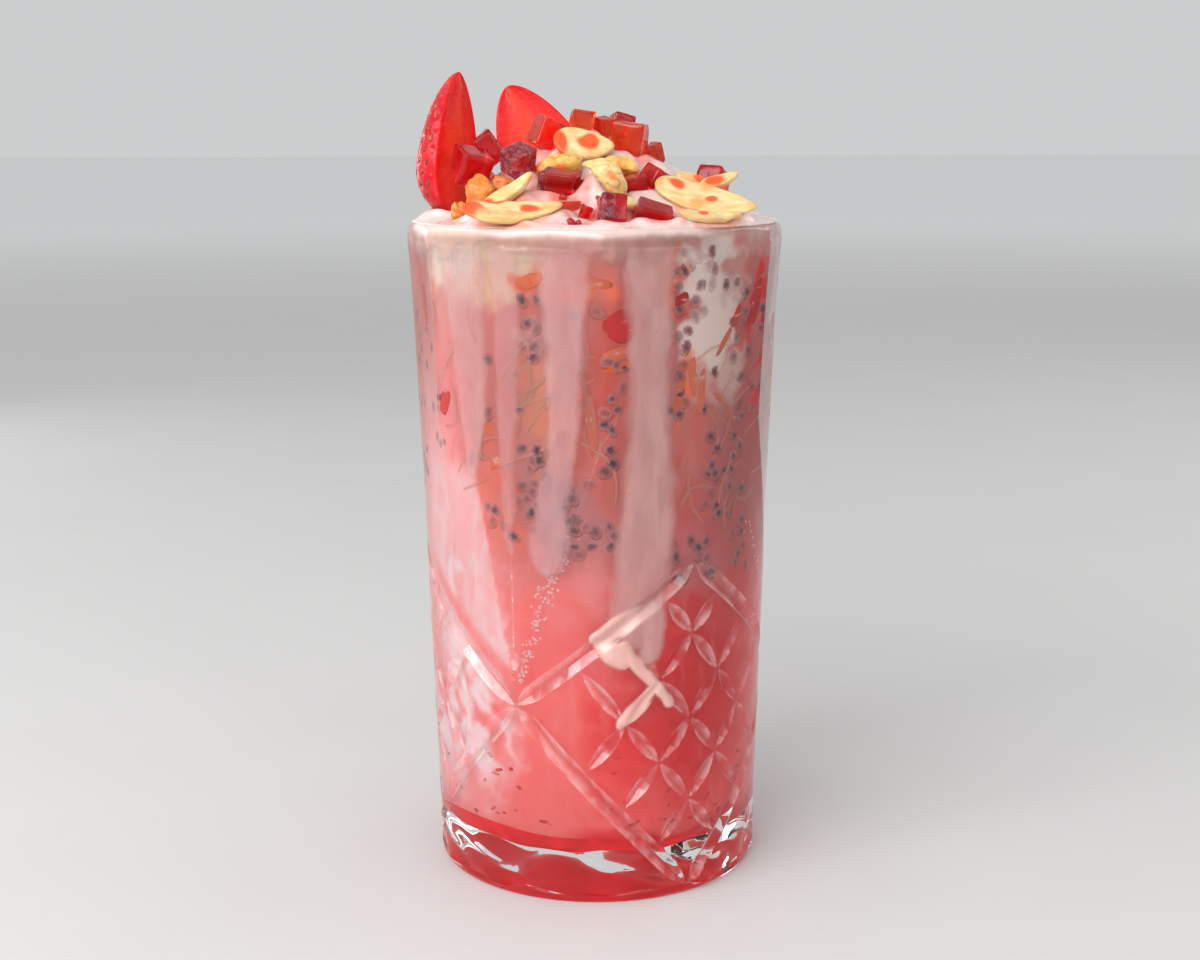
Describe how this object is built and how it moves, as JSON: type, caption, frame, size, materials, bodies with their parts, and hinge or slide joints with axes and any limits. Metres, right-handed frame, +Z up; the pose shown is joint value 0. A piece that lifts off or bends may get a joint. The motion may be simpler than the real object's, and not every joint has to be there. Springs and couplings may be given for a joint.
{
  "type": "falooda",
  "caption": "Falooda in a tall cut glass: rose syrup, pink milk, vermicelli and seeds under cream, with strawberry, jelly dice and nuts on top.",
  "frame": {"origin": "centre of the glass's flat underside", "axes": "+Z up along the glass's axis, -Y towards the viewer of the picture, +X to the viewer's right"},
  "size_m": [0.0804, 0.0818, 0.1706],
  "materials": {
    "glass": "clear pressed glass with flutes and mitre cuts",
    "syrup": "clear red rose syrup",
    "rose_milk": "pink milk, cloudy, with paler swirls",
    "falooda": "pink cream with vermicelli, dark swollen seeds and red jelly",
    "cream": "soft pale pink cream, wet",
    "berry": "fresh strawberry, wet skin and cut face",
    "jelly": "clear red and orange-red jelly",
    "almond": "sliced blanched almond stained with orange syrup",
    "nut": "broken walnut and almond pieces"
  },
  "bodies": {
    "root": {"almond_01": "almond", "almond_02": "almond", "almond_03": "almond", "almond_04": "almond", "almond_05": "almond", "almond_06": "almond", "almond_07": "almond", "almond_08": "almond", "almond_09": "almond", "almond_10": "almond", "cream": "cream", "cream_collar": "cream", "drip_left": "cream", "drip_main": "cream", "drip_middle": "cream", "drip_tail_left": "cream", "drip_tail_right": "cream", "drip_thin": "cream", "falooda": "falooda", "glass": "glass", "jelly_01": "jelly", "jelly_02": "jelly", "jelly_03": "jelly", "jelly_04": "jelly", "jelly_05": "jelly", "jelly_06": "jelly", "jelly_07": "jelly", "jelly_08": "jelly", "jelly_09": "jelly", "jelly_10": "jelly", "jelly_11": "jelly", "jelly_12": "jelly", "jelly_13": "jelly", "jelly_14": "jelly", "jelly_15": "jelly", "jelly_16": "jelly", "jelly_17": "jelly", "jelly_18": "jelly", "jelly_19": "jelly", "jelly_20": "jelly", "jelly_21": "jelly", "nut_01": "nut", "nut_02": "nut", "nut_03": "nut", "nut_04": "nut", "nut_05": "nut", "nut_06": "nut", "nut_07": "nut", "nut_08": "nut", "rose_milk": "rose_milk", "strawberry_half": "berry", "strawberry_slice": "berry", "syrup": "syrup"}
  },
  "joints": []
}
